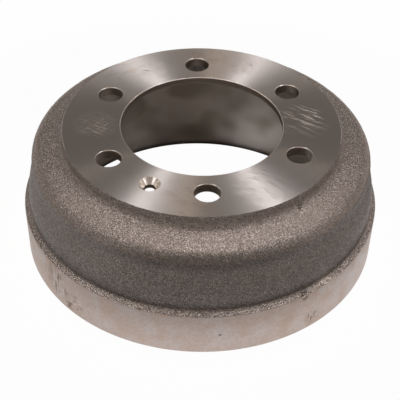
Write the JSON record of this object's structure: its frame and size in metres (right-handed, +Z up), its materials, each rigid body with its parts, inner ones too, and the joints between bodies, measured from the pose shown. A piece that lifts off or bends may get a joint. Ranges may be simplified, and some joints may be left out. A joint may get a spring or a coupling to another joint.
{
  "type": "brake drum",
  "caption": "Cast iron brake drum with a turned mounting face, centre bore, ring of wheel stud holes, countersunk screw hole, cast shoulder and a turned outer band.",
  "frame": {"origin": "centre of the open end, on the plane that the drum stands on", "axes": "+Z up the drum's axis, out of the wheel's mounting face; one wheel stud hole lies at +Y"},
  "size_m": [0.294, 0.294, 0.12],
  "materials": {
    "cast_iron": "sand cast outside, turned on the mounting face, band and braking surface"
  },
  "bodies": {
    "root": {"brake_drum": "cast_iron"}
  },
  "joints": []
}
